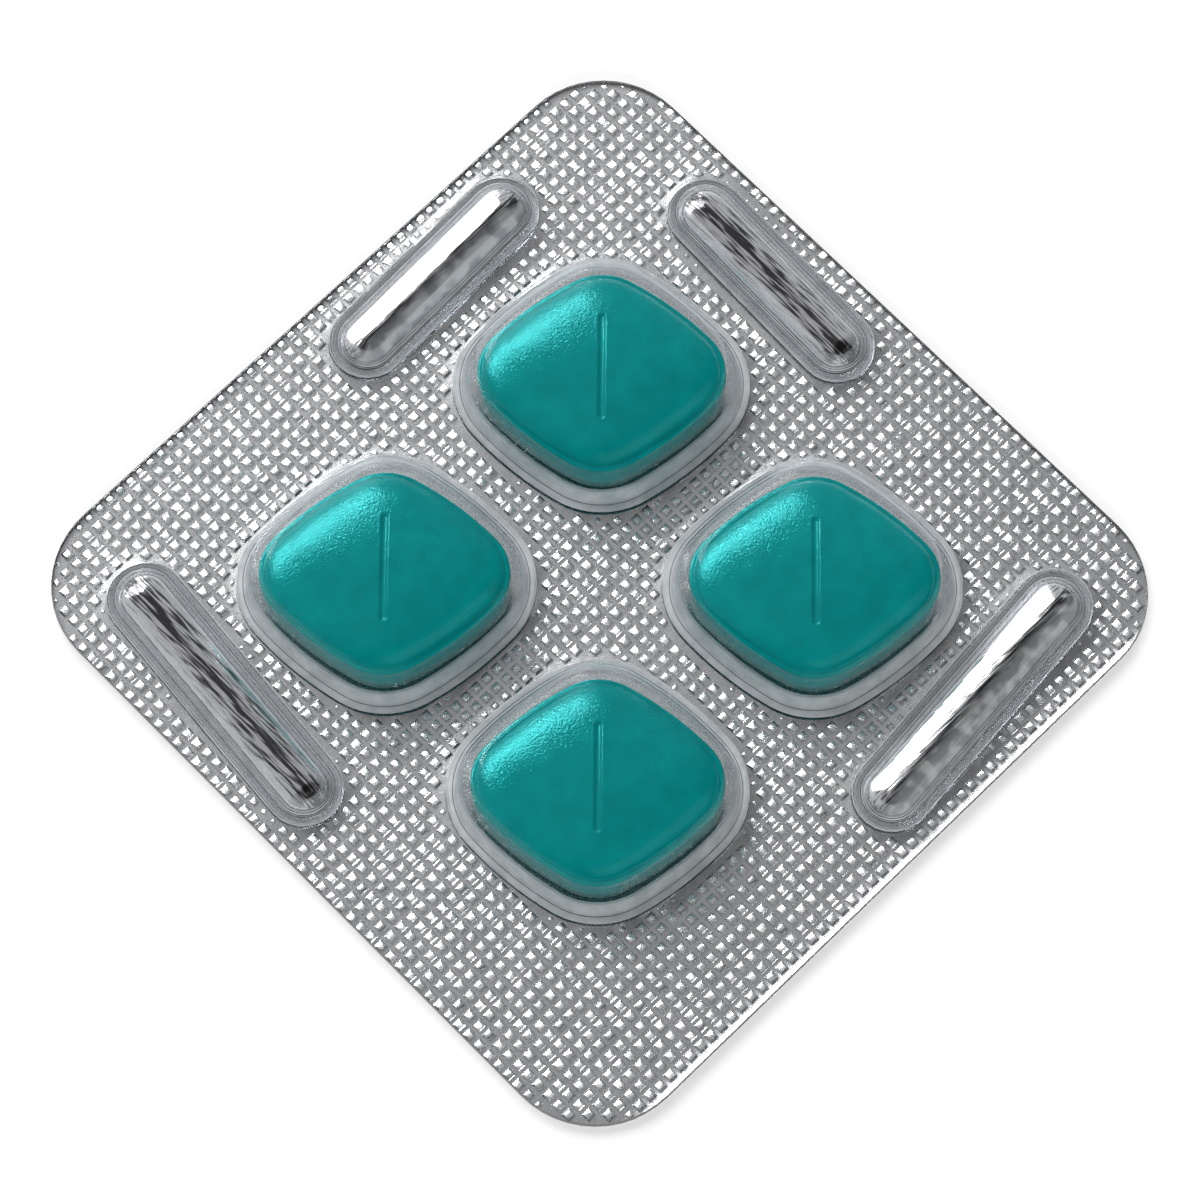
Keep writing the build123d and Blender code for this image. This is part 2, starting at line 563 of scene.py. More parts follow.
foilFloor = {
    # margins from the foot of the pocket's inner wall, and the heights there
    "rings": (
        (0.64, 0.13), (0.52, 0.075), (0.30, 0.05), (0.0, 0.045), (-0.35, 0.045),
        (-0.8, 0.045), (-1.4, 0.045), (-2.2, 0.045), (-3.2, 0.045), (-4.2, 0.045),
    ),
    "lift": 0.012,  # added to all of those heights
    "crinkle": (0.9, 0.014),  # size and depth
}


def addFoilFloors(sheet):
    # smooth foil under each pocket
    lift = foilFloor["lift"]
    for number, place in enumerate(pocketPlaces, start=1):
        ring = webRing(number)
        for margin, height in foilFloor["rings"]:
            outline = placed(pocketOutline(margin), place)
            ring = lyingRing(sheet, ring, outline, height + lift, *foilFloor["crinkle"], number)
        closeFan(sheet, ring, (*place[:2], sheets["foilGauge"] + lift), (*place[:2], 0.0))


foilRidge = {
    # radii about the rib's middle line, and the heights there, up to the ridge's foot
    "rings": ((2.30, 0.13), (2.18, 0.07), (1.95, 0.05), (1.72, 0.045), (1.60, 0.05)),
    "lift": 0.008,
    "crinkle": (0.8, 0.012),
    "radius": 1.54,
    "foot": 0.06,
    "sides": 0.80,  # how much of the height is in the steep sides, and how much in the crown
    "sideSquareness": 10,
    "crown": 0.55,
    "crownSquareness": 1.3,
    "firstAngle": 3,
    "sweep": 85,
    "steps": 22,
    "wave": (1.6, 0.030),
    "marks": (1.7, 0.12, 5.0),  # the marks of the drawing change fast across and slowly along
    "markDepth": 0.008,
}


def addFoilRidges(sheet):
    # foil drawn up into each rib, with the lengthwise marks of the drawing
    gauge = sheets["foilGauge"]
    across, along, apart = foilRidge["marks"]
    for number, (span, place) in enumerate(rib["places"]):
        ring = webRing(1 + len(pocketPlaces) + number)
        mark = 1 + number % 2
        for radius, height in foilRidge["rings"]:
            outline = placed(slotOutline(span, radius), place)
            height += foilRidge["lift"]
            ring = lyingRing(sheet, ring, outline, height, *foilRidge["crinkle"], number)
        steps = foilRidge["steps"]
        for step in range(steps + 1):
            angle = math.radians(foilRidge["firstAngle"] + foilRidge["sweep"] * step / steps)
            share = math.cos(angle)
            sides = math.sqrt(1 - share ** foilRidge["sideSquareness"])
            height = foilRidge["foot"] + foilRidge["sides"] * sides
            height += foilRidge["crown"] * (1 - share ** foilRidge["crownSquareness"])
            loop = []
            for x, y in placed(slotOutline(span, foilRidge["radius"] * share), place):
                wave = crinkle(x, y, *foilRidge["wave"], 7.0 + number) * math.sin(angle)
                spot = Vector((step * across, (x + y) * along, number * apart))
                loop.append((x, y, height + wave + noise.noise(spot) * foilRidge["markDepth"]))
            ring = addRing(sheet, ring, loop, [(x, y, z - gauge) for x, y, z in loop], mark)
        closeBar(sheet, ring, mark)


# ---- film

def filmSheet():
    sheet = newSheet()
    inset = pack["cutBevel"]
    size = (pack["size"][0] - 2 * inset, pack["size"][1] - 2 * inset)
    bevelLoop = packOutline(size, pack["cornerRadius"] - inset)
    under = sheets["foilGauge"] + sheets["bond"]
    for number, ((x, y), lift) in enumerate(zip(web["points"], webLift)):
        rough = crinkle(x, y, *sheets["crinkle"])
        topX, topY = bevelLoop[number] if number < len(edgeLoop) else (x, y)
        addPoint(sheet, (topX, topY, sheets["filmTop"] + lift), (x, y, under + lift + rough))
    for triangle in web["triangles"]:
        addFace(sheet, triangle)
    for number, (centre, scale) in enumerate(bumps, start=1 + len(formLoops)):
        ring = webRing(number)
        top = sum(sheet["upper"][k][2] for k in ring) / 4 + sheets["filmDimple"] * scale
        low = sum(sheet["lower"][k][2] for k in ring) / 4 
        low += knurl["tipRise"] * scale * sheets["filmClear"]
        ring = addRing(
            sheet,
            ring,
            flat(square(centre, knurl["crown"] * scale), top),
            flat(square(centre, knurl["shoulder"] * scale), low),
        )
        addFace(sheet, tuple(ring))
    return sheet


def ledgeProfile(foot, ledge, zone):
    # outer reach and height, inner reach and height, and the zone, from the web up over the ledge to
    # the wall; the small steps round the corners off
    wall = pocket["wall"]
    webTop = sheets["filmTop"] + pack["swell"]
    webLow = sheets["foilGauge"] + sheets["bond"] + pack["swell"]
    out = foot + ledge
    low = ledgeTop - wall
    return [
        (out + 0.030, webTop + 0.015, out - wall + 0.06, webLow + 0.02, "web"),
        (out + 0.008, webTop + 0.05, out - wall + 0.02, webLow + 0.07, "riser"),
        (out, ledgeTop - 0.09, out - wall, low - 0.09, "riser"),
        (out - 0.025, ledgeTop - 0.03, out - wall - 0.02, low - 0.03, "rim"),
        (out - 0.08, ledgeTop, out - wall - 0.07, low, "rim"),
        (out - ledge / 2, ledgeTop - 0.01, out - wall - ledge / 2, low - 0.01, zone),
        (foot + 0.12, ledgeTop - 0.005, foot - wall + 0.12, low - 0.005, zone),
        (foot + 0.06, ledgeTop, foot - wall + 0.06, low, "riser"),
        (foot + 0.01, ledgeTop + 0.03, foot - wall + 0.01, low + 0.03, "rim"),
    ]


def pocketProfile():
    wall = pocket["wall"]
    levels = ledgeProfile(wall, pocket["ledge"], "ledge")
    inset, rise = pocket["footInset"], pocket["footRise"]
    levels.append((wall - inset, ledgeTop + rise, -inset, ledgeTop - wall + rise, "footWall"))
    roof = pocket["roofRadius"]
    middle = filmHigh.z - pocket["roofDrop"] - roof
    lean = math.radians(pocket["draft"])
    wallTop = middle + roof * math.sin(lean)
    reach = wall - (wallTop - packHigh.z) * draftSlope - roof * math.cos(lean)
    wallSteps = pocket["wallSteps"]
    for step in range(1, wallSteps):
        z = ledgeTop + rise + (wallTop - ledgeTop - rise) * step / wallSteps
        margin = wall - (z - packHigh.z) * draftSlope
        zone = "footWall" if step < pocket["milkySteps"] else "wall"
        levels.append((margin, z, margin - wall, z, zone))
    steps = pocket["roofSteps"]
    for step in range(steps + 1):
        angle = lean + (math.pi / 2 - lean) * step / steps
        levels.append((
            reach + roof * math.cos(angle),
            middle + roof * math.sin(angle),
            reach + (roof - wall) * math.cos(angle),
            middle + (roof - wall) * math.sin(angle),
            "wall" if step < 2 else "web",
        ))
    return levels


def addFilmPockets(sheet):
    levels = pocketProfile()
    for number, place in enumerate(pocketPlaces, start=1):
        ring = webRing(number)
        for outMargin, outHeight, inMargin, inHeight, zone in levels:
            outer = flat(placed(pocketOutline(outMargin), place), outHeight)
            inner = flat(placed(pocketOutline(inMargin), place), inHeight)
            ring = addRing(sheet, ring, outer, inner, zoneNumbers[zone])
        rim = placed(pocketOutline(levels[-1][0]), place)
        for share in pocket["roofShares"]:
            top = filmHigh.z - pocket["roofDrop"] * share ** 2
            loop = [
                (place[0] + (x - place[0]) * share, place[1] + (y - place[1]) * share) for x, y in rim
            ]
            ring = addRing(sheet, ring, flat(loop, top), flat(loop, top - pocket["wall"]))
        closeFan(sheet, ring, (*place[:2], filmHigh.z), (*place[:2], filmHigh.z - pocket["wall"]))


def ribProfile():
    wall = pocket["wall"]
    foot = rib["radius"]
    levels = ledgeProfile(foot, rib["ledge"], "ribLedge")
    crest = rib["crestRadius"]
    top = packHigh.z + sheets["filmGauge"] + rib["rise"]
    first = rib["crestStart"]
    for step, zone in enumerate(rib["crestZones"]):
        angle = math.radians(first + (90 - first) * step / (len(rib["crestZones"]) - 1))
        levels.append((
            foot - crest + crest * math.cos(angle),
            top - crest + crest * math.sin(angle),
            foot - crest + (crest - wall) * math.cos(angle),
            top - crest + (crest - wall) * math.sin(angle),
            zone,
        ))
    return levels


def addFilmRibs(sheet):
    for number, (span, place) in enumerate(rib["places"]):
        ring = webRing(1 + len(pocketPlaces) + number)
        for outRadius, outHeight, inRadius, inHeight, zone in ribProfile():
            outer = flat(placed(slotOutline(span, outRadius), place), outHeight)
            inner = flat(placed(slotOutline(span, inRadius), place), inHeight)
            ring = addRing(sheet, ring, outer, inner, zoneNumbers[zone])
        closeBar(sheet, ring)


# ---- tablet

def cupHeight(share):
    # height above the side band, from the rim (share 1) to the middle (share 0)
    land = tablet["landShare"]
    if share >= land:
        return tablet["landRise"]
    cup = (1 - (share / land) ** tablet["cupSquareness"]) ** tablet["cupFullness"]
    return tablet["landRise"] + (tablet["topCup"] - tablet["landRise"]) * cup


def tabletObject(name, node):
    low, high = boxInMm(node)
    place = ((low.x + high.x) / 2, (low.y + high.y) / 2, tablet["turn"])
    rim = cushionOutline(tablet, 0.0, 0.0, (10, 14, 12))
    points, faces = [], []

    def addLoop(share, height):
        start = len(points)
        points.extend((x * share, y * share, height) for x, y in rim)
        return [start + k for k in range(len(rim))]

    def join(lower, upper):
        for k in range(len(lower)):
            after = (k + 1) % len(lower)
            faces.append((lower[k], lower[after], upper[after], upper[k]))

    # lower cup, side band, bevel and land, then the upper cup down to where the score line starts
    sections = []
    for share in tablet["bottomShares"]:
        cup = (1 - share ** tablet["bottomSquareness"]) ** tablet["bottomFullness"]
        drop = tablet["bottomCup"] * cup
        sections.append((share, bandBottom - drop))
    lowEase, highEase = tablet["bandEase"]
    for height in (bandBottom + lowEase, (bandBottom + bandTop) / 2, bandTop - highEase):
        sections.append((1.0, height))
    sections += [(share, bandTop + rise) for share, rise in tablet["bevel"]]
    cupShares = [tablet["landShare"] - step for step in tablet["landSteps"]]
    cupShares += tablet["cupShares"]
    sections += [(share, bandTop + cupHeight(share)) for share in cupShares]
    ring = addLoop(*sections[0])
    points.append((0, 0, tabletLow.z))
    for k, index in enumerate(ring):
        faces.append((ring[(k + 1) % len(ring)], index, len(points) - 1))
    for share, height in sections[1:]:
        upper = addLoop(share, height)
        join(ring, upper)
        ring = upper

    # the crown with its score line is triangulated, because the line crosses the rings
    reach = [math.hypot(x, y) for x, y in rim]
    angles = [math.atan2(y, x) for x, y in rim]

    def shareAt(x, y):
        angle = math.atan2(y, x)
        best = min(range(len(rim)), key=lambda k: abs(math.remainder(angles[k] - angle, 2 * math.pi)))
        return math.hypot(x, y) / reach[best]

    scoreHalf = tablet["scoreWidth"] / 2
    scoreSpan = tablet["scoreLength"] - tablet["scoreWidth"]
    flatPoints = [points[index][:2] for index in ring]
    depths = [0.0] * len(ring)
    edges = [(k, (k + 1) % len(ring)) for k in range(len(ring))]
    widest = scoreHalf + tablet["scoreSection"][0][0]
    for reachOut, depth in tablet["scoreSection"]:
        loop = [(-y, x) for x, y in slotOutline(scoreSpan, scoreHalf + reachOut, 8, 26)]
        start = len(flatPoints)
        flatPoints += loop
        depths += [depth] * len(loop)
        edges += [(start + k, start + (k + 1) % len(loop)) for k in range(len(loop))]
    for share in tablet["crownShares"]:
        for x, y in rim[::2]:
            spot = (x * share, y * share)
            beyond = math.hypot(spot[0], max(abs(spot[1]) - scoreSpan / 2, 0))
            if beyond > widest + tablet["scoreClear"]:
                flatPoints.append(spot)
                depths.append(0.0)
    result = delaunay_2d_cdt([Vector(p) for p in flatPoints], edges, [], 0, 1e-7)
    numbers = list(ring)
    for k in range(len(ring), len(flatPoints)):
        x, y = flatPoints[k]
        share = shareAt(x, y)
        points.append((x, y, bandTop + cupHeight(share) + depths[k]))
        numbers.append(len(points) - 1)
    for a, b, c in result[2]:
        (ax, ay), (bx, by), (cx, cy) = flatPoints[a], flatPoints[b], flatPoints[c]
        turn = (bx - ax) * (cy - ay) - (by - ay) * (cx - ax)
        face = (numbers[a], numbers[b], numbers[c])
        faces.append(face if turn > 0 else face[::-1])

    grounds = placed([(x, y) for x, y, z in points], place)
    world = [Vector((x, y, point[2])) * mm for (x, y), point in zip(grounds, points)]
    return meshObject(name, world, faces)


# ---- materials

def newMaterial(name):
    material = bpy.data.materials.new(name)
    material.use_nodes = True
    material.node_tree.nodes.clear()
    return material, material.node_tree


def addNode(tree, kind, values=None, **settings):
    node = tree.nodes.new(kind)
    for key, value in settings.items():
        setattr(node, key, value)
    for key, value in (values or {}).items():
        node.inputs[key].default_value = value
    return node


def millimetreSpace(tree, scale=(1, 1, 1), turn=0.0):
    # object coordinates in millimetres, so that pattern sizes below read as real sizes
    where = addNode(tree, "ShaderNodeTexCoord")
    mapping = addNode(tree, "ShaderNodeMapping", vector_type="POINT")
    mapping.inputs["Rotation"].default_value = (0, 0, math.radians(turn))
    mapping.inputs["Scale"].default_value = tuple(s / mm for s in scale)
    tree.links.new(where.outputs["Object"], mapping.inputs["Vector"])
    return mapping.outputs["Vector"]


def noiseOf(tree, space, scale, detail=2.0, roughness=0.5):
    node = addNode(
        tree,
        "ShaderNodeTexNoise",
        {"Scale": scale, "Detail": detail, "Roughness": roughness},
    )
    tree.links.new(space, node.inputs["Vector"])
    return node.outputs["Fac"]


def spread(tree, source, low, high, fromLow=0.3, fromHigh=0.7):
    node = addNode(
        tree,
        "ShaderNodeMapRange",
        {"From Min": fromLow, "From Max": fromHigh, "To Min": low, "To Max": high},
    )
    tree.links.new(source, node.inputs["Value"])
    return node.outputs["Result"]


def blendColours(tree, factor, first, second):
    node = addNode(tree, "ShaderNodeMix", data_type="RGBA")
    node.inputs[6].default_value = (*first, 1)
    node.inputs[7].default_value = (*second, 1)
    tree.links.new(factor, node.inputs[0])
    return node.outputs[2]


def bumped(tree, height, distance, normal=None):
    node = addNode(tree, "ShaderNodeBump", {"Strength": 1.0, "Distance": distance * mm})
    tree.links.new(height, node.inputs["Height"])
    if normal is not None:
        tree.links.new(normal, node.inputs["Normal"])
    return node.outputs["Normal"]


def addOutput(tree, shader):
    out = addNode(tree, "ShaderNodeOutputMaterial")
    tree.links.new(shader.outputs[0], out.inputs[0])


# A pattern below is its scale per millimetre, then its detail and roughness.
foilLook = {
    "bright": (0.86, 0.86, 0.865),
    "dull": (0.74, 0.75, 0.76),
    "roughness": (0.22, 0.32),
    "patches": (0.9, 3.0),
    "grain": (14.0, 3.0),
    "crinkles": (2.6, 3.0),
    "crinkleDepth": 0.012,
    "rollingStretch": (0.25, 6.0, 1.0),
    "rollingLines": (2.0, 2.0),
    "rollingDepth": 0.0005,
}


def foilMaterial():
    material, tree = newMaterial("embossedFoil")
    space = millimetreSpace(tree)
    rolled = millimetreSpace(tree, foilLook["rollingStretch"])
    patches = noiseOf(tree, space, *foilLook["patches"])
    grain = noiseOf(tree, space, *foilLook["grain"])
    lines = noiseOf(tree, rolled, *foilLook["rollingLines"])
    shader = addNode(tree, "ShaderNodeBsdfPrincipled", {"Metallic": 1.0})
    tree.links.new(
        blendColours(tree, spread(tree, patches, 0, 1), foilLook["dull"], foilLook["bright"]),
        shader.inputs["Base Color"],
    )
    tree.links.new(spread(tree, grain, *foilLook["roughness"]), shader.inputs["Roughness"])
    soft = bumped(tree, noiseOf(tree, space, *foilLook["crinkles"]), foilLook["crinkleDepth"])
    fine = bumped(tree, lines, foilLook["rollingDepth"], soft)
    tree.links.new(fine, shader.inputs["Normal"])
    addOutput(tree, shader)
    return material


# The drawn foil's colours are painted light: bright is a painted highlight, dark a painted reflection
# along the crest, and the blots are painted blurry reflections.
ridgeLook = {
    "bright": (0.90, 0.90, 0.91),
    "dark": (0.09, 0.09, 0.095),
    "paintedReflectionDark": (0.42, 0.43, 0.45),
    "paintedReflectionLight": (0.85, 0.86, 0.86),
    "lines": (4.0, 1.0),
    "lineDepth": 0.020,
    "paintedReflectionBlots": (1.0, 1.0),
    "dents": (1.1, 1.0),
    "dentDepth": 0.04,
    "roughness": (0.42, 0.16),  # on the far flank, where the painted reflection blots lie, and elsewhere
    # By the way the flank faces, which paints light and shade into the colour: how far the scratches,
    # bumped and drawn along the edge of the near-black crest, stray, and where the painted highlight
    # on the flank turned to the lamps sets in.
    "stray": {"X": 0.22, "Y": 0.36},
    "paintedHighlight": {"X": (0.16, 0.40), "Y": (-0.20, 0.25)},
    "paintedReflectionFlank": (-0.32, -0.16),
}


def ridgeMaterial(name, scale, turn, side):
    # foil stretched over a former, its colour painted by the way it faces: a painted highlight on the
    # flank turned to the lamps, a near-black painted reflection along the crest edged with scratches,
    # and painted blurry reflections on the far flank
    material, tree = newMaterial(name)
    stretched = millimetreSpace(tree, scale, turn)
    space = millimetreSpace(tree)
    lines = noiseOf(tree, stretched, *ridgeLook["lines"])
    facing = addNode(tree, "ShaderNodeNewGeometry")
    split = addNode(tree, "ShaderNodeSeparateXYZ")
    tree.links.new(facing.outputs["Normal"], split.inputs[0])
    flank = split.outputs[side]
    if side == "X":
        both = addNode(tree, "ShaderNodeMath", operation="ABSOLUTE")
        tree.links.new(flank, both.inputs[0])
        flank = both.outputs[0]
    drift = addNode(tree, "ShaderNodeMath", operation="ADD")
    tree.links.new(flank, drift.inputs[0])
    stray = ridgeLook["stray"][side]
    tree.links.new(spread(tree, lines, -stray, stray, 0.35, 0.65), drift.inputs[1])
    # painted highlight where the flank faces the lamps, giving way to the near-black painted
    # reflection along the crest
    paintedHighlight = spread(tree, drift.outputs[0], 0, 1, *ridgeLook["paintedHighlight"][side])
    crest = blendColours(tree, paintedHighlight, ridgeLook["dark"], ridgeLook["bright"])
    # painted blurry reflections: light and dark blots for the far flank
    paintedReflectionMask = spread(tree, noiseOf(tree, space, *ridgeLook["paintedReflectionBlots"]), 0, 1, 0.42, 0.6)
    paintedReflectionBlots = blendColours(tree, paintedReflectionMask, ridgeLook["paintedReflectionDark"], ridgeLook["paintedReflectionLight"])
    # the painted reflection blots replace the crest's colours on the flank turned away from the lamps
    mottle = addNode(tree, "ShaderNodeMix", data_type="RGBA")
    tree.links.new(spread(tree, flank, 1, 0, *ridgeLook["paintedReflectionFlank"]), mottle.inputs[0])
    tree.links.new(crest, mottle.inputs[6])
    tree.links.new(paintedReflectionBlots, mottle.inputs[7])
    shader = addNode(tree, "ShaderNodeBsdfPrincipled", {"Metallic": 1.0})
    tree.links.new(mottle.outputs[2], shader.inputs["Base Color"])
    tree.links.new(spread(tree, flank, *ridgeLook["roughness"], -0.4, 0.0), shader.inputs["Roughness"])
    soft = bumped(tree, noiseOf(tree, space, *ridgeLook["dents"]), ridgeLook["dentDepth"])
    fine = bumped(tree, lines, ridgeLook["lineDepth"], soft)
    tree.links.new(fine, shader.inputs["Normal"])
    addOutput(tree, shader)
    return material


# The cut edge of film and foil is painted near-black to dark grey all round, in streaks along it:
# painted shade that draws the pack's outline as a dark line.
cutEdgeLook = {
    "dark": (0.09, 0.09, 0.095),
    "light": (0.2, 0.2, 0.21),
    "roughness": 0.45,
    "stretch": (1, 1, 12),
    "streaks": (2.0,),
}


def cutEdgeMaterial():
    material, tree = newMaterial("shadedCutEdge")
    space = millimetreSpace(tree, cutEdgeLook["stretch"])
    roughness = cutEdgeLook["roughness"]
    shader = addNode(tree, "ShaderNodeBsdfPrincipled", {"Metallic": 0.0, "Roughness": roughness})
    streaks = noiseOf(tree, space, *cutEdgeLook["streaks"])
    tree.links.new(
        blendColours(tree, streaks, cutEdgeLook["dark"], cutEdgeLook["light"]),
        shader.inputs["Base Color"],
    )
    addOutput(tree, shader)
    return material


filmLook = {
    "milk": (0.94, 0.95, 0.965),
    "milkPatches": (0.7, 2.0),
    "milkRange": (0.75, 1.25),
    "roughness": 0.03,
    "waves": (0.55, 2.0),
    "waveDepth": 0.012,
    "edgePower": 3.0,  # how late the film's edgeways tint sets in
    "index": 1.16,
}

# How each zone looks: its tint seen straight and edgeways, its milkiness, and its most shine.
filmZones = {
    "web": ((0.99, 0.992, 0.993), (0.93, 0.94, 0.95), 0.0, 0.16),
    # the riser's dark grey tint is painted shade: it stands for the dark line that a bend in clear
    # film throws
    "riser": ((0.45, 0.47, 0.49), (0.35, 0.37, 0.39), 0.0, 0.10),
    # the rim's strong milkiness is a painted highlight: a lit white line standing for the glint along
    # each ledge's top edge
    "rim": ((0.98, 0.985, 0.99), (0.92, 0.93, 0.94), 0.62, 0.16),
    "ledge": ((0.96, 0.965, 0.97), (0.90, 0.91, 0.92), 0.52, 0.12),
    "footWall": ((0.97, 0.975, 0.98), (0.92, 0.93, 0.94), 0.52, 0.06),
    "wall": ((0.985, 0.99, 0.993), (0.96, 0.97, 0.98), 0.0, 0.02),
    "ribLedge": ((0.86, 0.87, 0.88), (0.80, 0.81, 0.82), 0.10, 0.12),
    "ribFlank": ((0.98, 0.985, 0.99), (0.93, 0.94, 0.95), 0.13, 0.12),
}
# the sheared edge has material slot 1, between the web and the other zones
zoneNumbers = {zone: slot + min(slot, 1) for slot, zone in enumerate(filmZones)}


def filmMaterial(zone):
    straight, edgeways, haze, mostShine = filmZones[zone]
    material, tree = newMaterial(zone + "Film")
    space = millimetreSpace(tree)
    normal = bumped(tree, noiseOf(tree, space, *filmLook["waves"]), filmLook["waveDepth"])
    facing = addNode(tree, "ShaderNodeLayerWeight", {"Blend": 0.5})
    tree.links.new(normal, facing.inputs["Normal"])
    power = addNode(tree, "ShaderNodeMath", operation="POWER")
    power.inputs[1].default_value = filmLook["edgePower"]
    tree.links.new(facing.outputs["Facing"], power.inputs[0])
    body = addNode(tree, "ShaderNodeBsdfTransparent")
    tree.links.new(blendColours(tree, power.outputs[0], straight, edgeways), body.inputs["Color"])
    if haze:
        front = addNode(tree, "ShaderNodeBsdfDiffuse", {"Color": (*filmLook["milk"], 1)})
        back = addNode(tree, "ShaderNodeBsdfTranslucent", {"Color": (*filmLook["milk"], 1)})
        milk = addNode(tree, "ShaderNodeMixShader")
        tree.links.new(front.outputs[0], milk.inputs[1])
        tree.links.new(back.outputs[0], milk.inputs[2])
        clear = body
        body = addNode(tree, "ShaderNodeMixShader")
        patches = noiseOf(tree, space, *filmLook["milkPatches"])
        least, most = filmLook["milkRange"]
        tree.links.new(spread(tree, patches, least * haze, most * haze), body.inputs[0])
        tree.links.new(clear.outputs[0], body.inputs[1])
        tree.links.new(milk.outputs[0], body.inputs[2])
    shine = addNode(tree, "ShaderNodeBsdfGlossy", {"Roughness": filmLook["roughness"]})
    tree.links.new(normal, shine.inputs["Normal"])
    fresnel = addNode(tree, "ShaderNodeFresnel", {"IOR": filmLook["index"]})
    tree.links.new(normal, fresnel.inputs["Normal"])
    mix = addNode(tree, "ShaderNodeMixShader")
    tree.links.new(spread(tree, fresnel.outputs[0], 0, mostShine, 0, mostShine), mix.inputs[0])
    tree.links.new(body.outputs[0], mix.inputs[1])
    tree.links.new(shine.outputs[0], mix.inputs[2])
    addOutput(tree, mix)
    return material


tabletLook = {
    "teal": (0.0005, 0.225, 0.222),
    "deep": (0.0003, 0.180, 0.180),
    "roughness": (0.05, 0.08),
    "mottle": (0.8, 4.0, 0.6),
    "peel": (7.0, 2.0, 0.55),  # the humps of the coating
    "peelDepth": 0.026,
    "index": 1.64,
    "shineTint": (0.10, 1.0, 1.0),
}


def tabletMaterial():
    material, tree = newMaterial("tealTabletCoat")
    space = millimetreSpace(tree)
    mottle = noiseOf(tree, space, *tabletLook["mottle"])
    peel = noiseOf(tree, space, *tabletLook["peel"])
    shader = addNode(
        tree,
        "ShaderNodeBsdfPrincipled",
        {"IOR": tabletLook["index"], "Specular Tint": (*tabletLook["shineTint"], 1)},
    )
    tree.links.new(
        blendColours(tree, spread(tree, mottle, 0, 1), tabletLook["deep"], tabletLook["teal"]),
        shader.inputs["Base Color"],
    )
    tree.links.new(spread(tree, peel, *tabletLook["roughness"]), shader.inputs["Roughness"])
    normal = bumped(tree, peel, tabletLook["peelDepth"])
    tree.links.new(normal, shader.inputs["Normal"])
    addOutput(tree, shader)
    return material


# ---- pieces

def finishPiece(piece, node, materials, crease=None):
    for material in materials:
        piece.data.materials.append(material)
    if crease:
        piece.data.set_sharp_from_angle(angle=math.radians(crease))
    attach(piece, "root")
    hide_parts(node)
    print(piece.name, sum(len(face.vertices) - 2 for face in piece.data.polygons), "triangles")


foil = foilSheet()
addFoilFloors(foil)
addFoilRidges(foil)
edgeFinish = cutEdgeMaterial()
finishPiece(
    sheetObject("liddingFoil", foil, len(edgeLoop), 3),
    "lidding_foil",
    [
        foilMaterial(),
        ridgeMaterial("drawnFoilPaintedLightAlongX", (0.14, 2.1, 1.0), -3.6, "Y"),
        ridgeMaterial("drawnFoilPaintedLightAlongY", (2.1, 0.14, 1.0), 3.6, "X"),
        edgeFinish,
    ],
    30,
)

film = filmSheet()
addFilmPockets(film)
addFilmRibs(film)
filmFinishes = [filmMaterial(zone) for zone in filmZones]
filmFinishes.insert(1, edgeFinish)
finishPiece(
    sheetObject("formingFilm", film, len(edgeLoop), 1),
    "forming_film",
    filmFinishes,
    50,
)

coat = tabletMaterial()
for number, node in enumerate(tabletNodes, start=1):
    finishPiece(tabletObject(f"coatedTablet{number}", node), node, [coat])


# ---- floor, lamps and sky

studio = {
    "floorColour": (0.60, 0.60, 0.597),
    "floorGlow": 0.38,  # so that the shadow stays light
    "floorGap": 0.28,
    "floorSide": 6000,
    # how light the room is from its -Y side, at 0, to its +Y side, at 1
    "room": ((0.40, 0.07), (0.50, 0.16), (0.57, 0.33), (0.66, 0.36), (0.80, 0.45)),
    "roomTint": (1, 1, 1.02),
}


def addFloor():
    half = studio["floorSide"] / 2 * mm
    z = -studio["floorGap"] * mm
    corners = [(-half, -half, z), (half, -half, z), (half, half, z), (-half, half, z)]
    floor = meshObject("paleFloor", corners, [(0, 1, 2, 3)])
    material, tree = newMaterial("paleFloor")
    shader = addNode(tree, "ShaderNodeBsdfDiffuse")
    shader.inputs["Color"].default_value = (*studio["floorColour"], 1)
    glow = addNode(tree, "ShaderNodeEmission", {"Strength": studio["floorGlow"]})
    both = addNode(tree, "ShaderNodeAddShader")
    tree.links.new(shader.outputs[0], both.inputs[0])
    tree.links.new(glow.outputs[0], both.inputs[1])
    addOutput(tree, both)
    floor.data.materials.append(material)


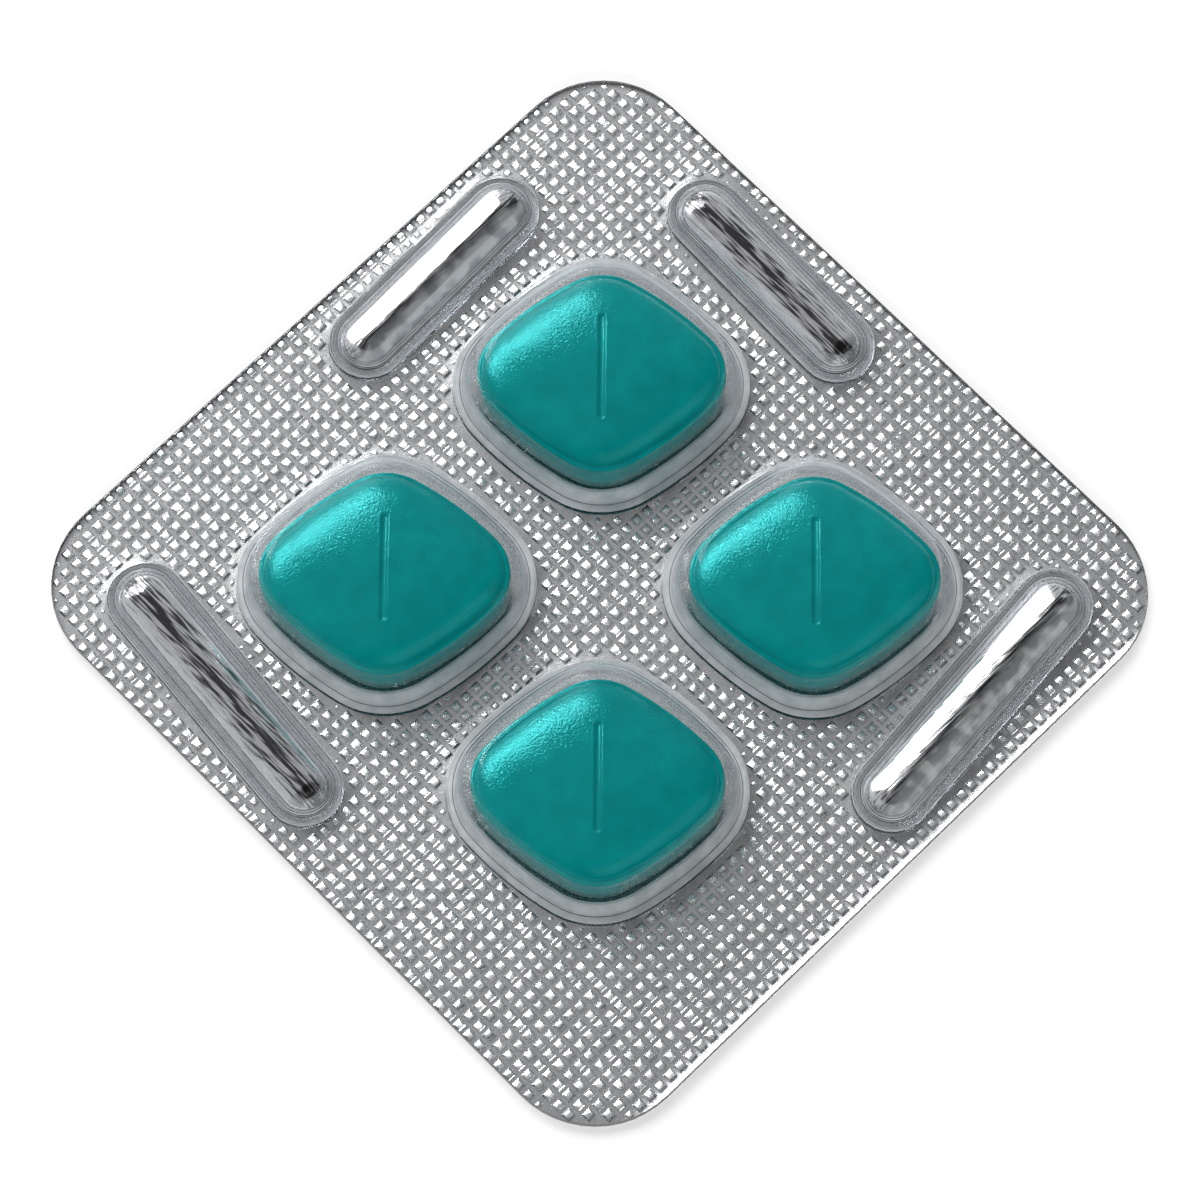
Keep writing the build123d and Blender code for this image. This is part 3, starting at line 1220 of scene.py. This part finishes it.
# Soft boxes shade the dull surfaces, and cards are what the glossy ones mirror.
softboxes = [
    # name, azimuth from +X, elevation, distance, width, height, radiance and purpose
    ("keySoftbox", 60, 46, 700, 760, 460, 5.0, "shade"),
    ("cornerFill", -135, 30, 700, 700, 260, 5.5, "shade"),
    ("keyCard", 84, 38, 700, 600, 250, 11.0, "gloss"),
    ("horizonCard", 80, 10, 700, 760, 240, 2.2, "gloss"),
    ("farCard", -95, 45, 700, 900, 420, 0.55, "gloss"),
]


def addSoftbox(name, azimuth, elevation, distance, width, height, radiance, purpose):
    turn, rise = math.radians(azimuth), math.radians(elevation)
    flatReach = math.cos(rise)
    direction = Vector((math.cos(turn) * flatReach, math.sin(turn) * flatReach, math.sin(rise)))
    data = bpy.data.lights.new(name, "AREA")
    data.shape = "RECTANGLE"
    data.size = width * mm
    data.size_y = height * mm
    data.energy = radiance * math.pi * data.size * data.size_y
    lamp = bpy.data.objects.new(name, data)
    lamp.location = direction * distance * mm
    lamp.rotation_euler = direction.to_track_quat("Z", "Y").to_euler()
    lamp.visible_glossy = purpose == "gloss"
    lamp.visible_diffuse = purpose == "shade"
    bpy.context.scene.collection.objects.link(lamp)


def addSky():
    # a plain grey room, darker on the side away from the key
    world = bpy.data.worlds.new("softRoom")
    bpy.context.scene.world = world
    world.use_nodes = True
    tree = world.node_tree
    tree.nodes.clear()
    where = addNode(tree, "ShaderNodeTexCoord")
    split = addNode(tree, "ShaderNodeSeparateXYZ")
    tree.links.new(where.outputs["Generated"], split.inputs[0])
    across = addNode(tree, "ShaderNodeValToRGB")
    ramp = across.color_ramp
    for position, value in studio["room"]:
        stop = ramp.elements.new(position)
        stop.color = (*[value * tint for tint in studio["roomTint"]], 1)
    ramp.elements.remove(ramp.elements[0])
    ramp.elements.remove(ramp.elements[-1])
    spreadY = spread(tree, split.outputs[1], 0, 1, -1, 1)
    tree.links.new(spreadY, across.inputs[0])
    sky = addNode(tree, "ShaderNodeBackground")
    tree.links.new(across.outputs[0], sky.inputs[0])
    out = addNode(tree, "ShaderNodeOutputWorld")
    tree.links.new(sky.outputs[0], out.inputs[0])


addFloor()
for softbox in softboxes:
    addSoftbox(*softbox)
addSky()
print("studio lit")

bpy.context.scene.view_settings.view_transform = "Standard"
bpy.context.scene.cycles.transparent_max_bounces = 24  # both skins of several drawn shapes in a row
